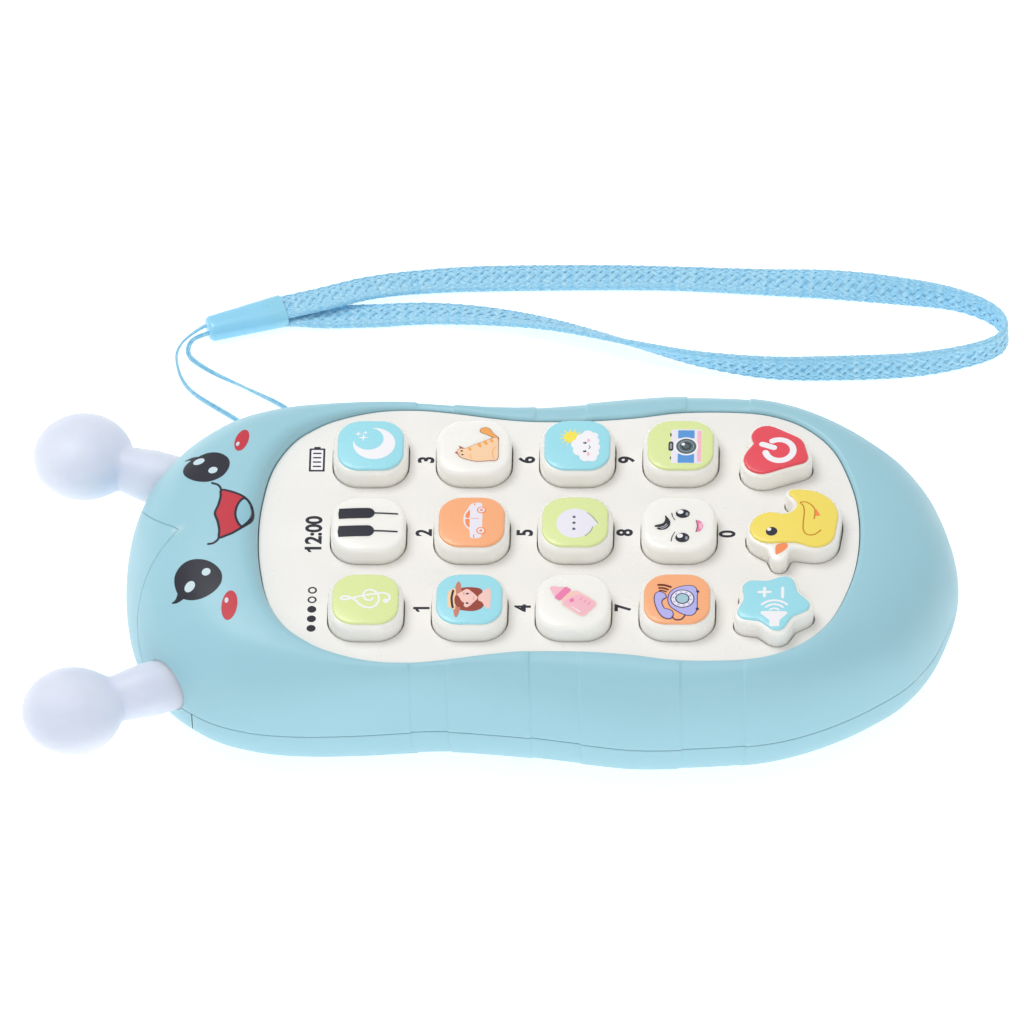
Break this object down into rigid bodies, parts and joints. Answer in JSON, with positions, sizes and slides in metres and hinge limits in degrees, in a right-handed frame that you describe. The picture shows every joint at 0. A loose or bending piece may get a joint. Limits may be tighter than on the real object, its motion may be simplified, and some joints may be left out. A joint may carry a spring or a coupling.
{
  "type": "toy cell phone",
  "caption": "Toddler's toy phone shaped like a smiling bug, with sprung picture keys, soft antennae, a battery door and a wrist lanyard.",
  "frame": {"origin": "centre of the bounding box of the phone with its antennae, on the plane of the flat back", "axes": "+X along the phone from the head with the antennae to the tail, +Y to the side where the lanyard is anchored, +Z out of the keypad"},
  "size_m": [0.1782, 0.1308, 0.0326],
  "materials": {
    "housing": "satin moulded ABS, light blue",
    "plate_white": "glossy white",
    "key_cream": "glossy cream ABS",
    "film_cyan": "glossy cyan skin",
    "film_green": "glossy pale green skin",
    "film_orange": "glossy orange skin",
    "cap_red": "glossy red skin",
    "cap_yellow": "glossy yellow skin",
    "keypad_rubber": "matt silicone",
    "board": "green solder mask",
    "black_plastic": "black",
    "wire_red": "insulated wire",
    "wire_black": "insulated wire",
    "battery_case": "printed steel can",
    "steel": "plated steel",
    "silicone": "milky translucent silicone",
    "cord_blue": "thin woven cord",
    "sleeve_blue": "moulded light-blue sleeve",
    "strap_blue": "flat braid"
  },
  "bodies": {
    "phone": {"front_housing": "housing", "rear_housing": "housing", "head_cap": "housing", "face_plate": "plate_white", "rubber_keypad": "keypad_rubber", "circuit_board": "board", "sound_chip": "black_plastic", "speaker": "black_plastic", "speaker_wires": "wire_red", "batteries": "battery_case", "battery_springs": "steel", "battery_contacts": "steel", "battery_wires": "wire_black", "board_screws": "steel", "case_screws": "steel", "antenna_left": "silicone", "antenna_right": "silicone", "lanyard_loop": "cord_blue", "lanyard_sleeve": "sleeve_blue", "lanyard_strap": "strap_blue"},
    "battery_door": {"battery_door": "housing", "battery_door_screw": "steel"},
    "key_music": {"key_music": "key_cream", "film_music": "film_green"},
    "key_girl": {"key_girl": "key_cream", "film_girl": "film_cyan"},
    "key_bottle": {"key_bottle": "key_cream"},
    "key_telephone": {"key_telephone": "key_cream", "film_telephone": "film_orange"},
    "key_piano": {"key_piano": "key_cream"},
    "key_car": {"key_car": "key_cream", "film_car": "film_orange"},
    "key_message": {"key_message": "key_cream", "film_message": "film_green"},
    "key_baby": {"key_baby": "key_cream"},
    "key_moon": {"key_moon": "key_cream", "film_moon": "film_cyan"},
    "key_cat": {"key_cat": "key_cream"},
    "key_weather": {"key_weather": "key_cream", "film_weather": "film_cyan"},
    "key_camera": {"key_camera": "key_cream", "film_camera": "film_green"},
    "key_heart": {"key_heart": "key_cream", "cap_heart": "cap_red"},
    "key_duck": {"key_duck": "key_cream", "cap_duck": "cap_yellow"},
    "key_star": {"key_star": "key_cream", "cap_star": "film_cyan"}
  },
  "joints": [
    {"name": "press_music", "type": "slide", "parent": "phone", "child": "key_music", "axis": [0, 0, -1], "range_m": [0, 0.0012], "stiffness_N_per_m": 300, "springref_m": -0.0004},
    {"name": "press_girl", "type": "slide", "parent": "phone", "child": "key_girl", "axis": [0, 0, -1], "range_m": [0, 0.0012], "stiffness_N_per_m": 300, "springref_m": -0.0004},
    {"name": "press_bottle", "type": "slide", "parent": "phone", "child": "key_bottle", "axis": [0, 0, -1], "range_m": [0, 0.0012], "stiffness_N_per_m": 300, "springref_m": -0.0004},
    {"name": "press_telephone", "type": "slide", "parent": "phone", "child": "key_telephone", "axis": [0, 0, -1], "range_m": [0, 0.0012], "stiffness_N_per_m": 300, "springref_m": -0.0004},
    {"name": "press_piano", "type": "slide", "parent": "phone", "child": "key_piano", "axis": [0, 0, -1], "range_m": [0, 0.0012], "stiffness_N_per_m": 300, "springref_m": -0.0004},
    {"name": "press_car", "type": "slide", "parent": "phone", "child": "key_car", "axis": [0, 0, -1], "range_m": [0, 0.0012], "stiffness_N_per_m": 300, "springref_m": -0.0004},
    {"name": "press_message", "type": "slide", "parent": "phone", "child": "key_message", "axis": [0, 0, -1], "range_m": [0, 0.0012], "stiffness_N_per_m": 300, "springref_m": -0.0004},
    {"name": "press_baby", "type": "slide", "parent": "phone", "child": "key_baby", "axis": [0, 0, -1], "range_m": [0, 0.0012], "stiffness_N_per_m": 300, "springref_m": -0.0004},
    {"name": "press_moon", "type": "slide", "parent": "phone", "child": "key_moon", "axis": [0, 0, -1], "range_m": [0, 0.0012], "stiffness_N_per_m": 300, "springref_m": -0.0004},
    {"name": "press_cat", "type": "slide", "parent": "phone", "child": "key_cat", "axis": [0, 0, -1], "range_m": [0, 0.0012], "stiffness_N_per_m": 300, "springref_m": -0.0004},
    {"name": "press_weather", "type": "slide", "parent": "phone", "child": "key_weather", "axis": [0, 0, -1], "range_m": [0, 0.0012], "stiffness_N_per_m": 300, "springref_m": -0.0004},
    {"name": "press_camera", "type": "slide", "parent": "phone", "child": "key_camera", "axis": [0, 0, -1], "range_m": [0, 0.0012], "stiffness_N_per_m": 300, "springref_m": -0.0004},
    {"name": "press_heart", "type": "slide", "parent": "phone", "child": "key_heart", "axis": [0, 0, -1], "range_m": [0, 0.0012], "stiffness_N_per_m": 300, "springref_m": -0.0004},
    {"name": "press_duck", "type": "slide", "parent": "phone", "child": "key_duck", "axis": [0, 0, -1], "range_m": [0, 0.0012], "stiffness_N_per_m": 300, "springref_m": -0.0004},
    {"name": "press_star", "type": "slide", "parent": "phone", "child": "key_star", "axis": [0, 0, -1], "range_m": [0, 0.0012], "stiffness_N_per_m": 300, "springref_m": -0.0004},
    {"name": "battery_door_hinge", "type": "hinge", "parent": "phone", "child": "battery_door", "pos_m": [-0.04015, 0, 0], "axis": [0, 1, 0], "range_deg": [0, 80]}
  ]
}
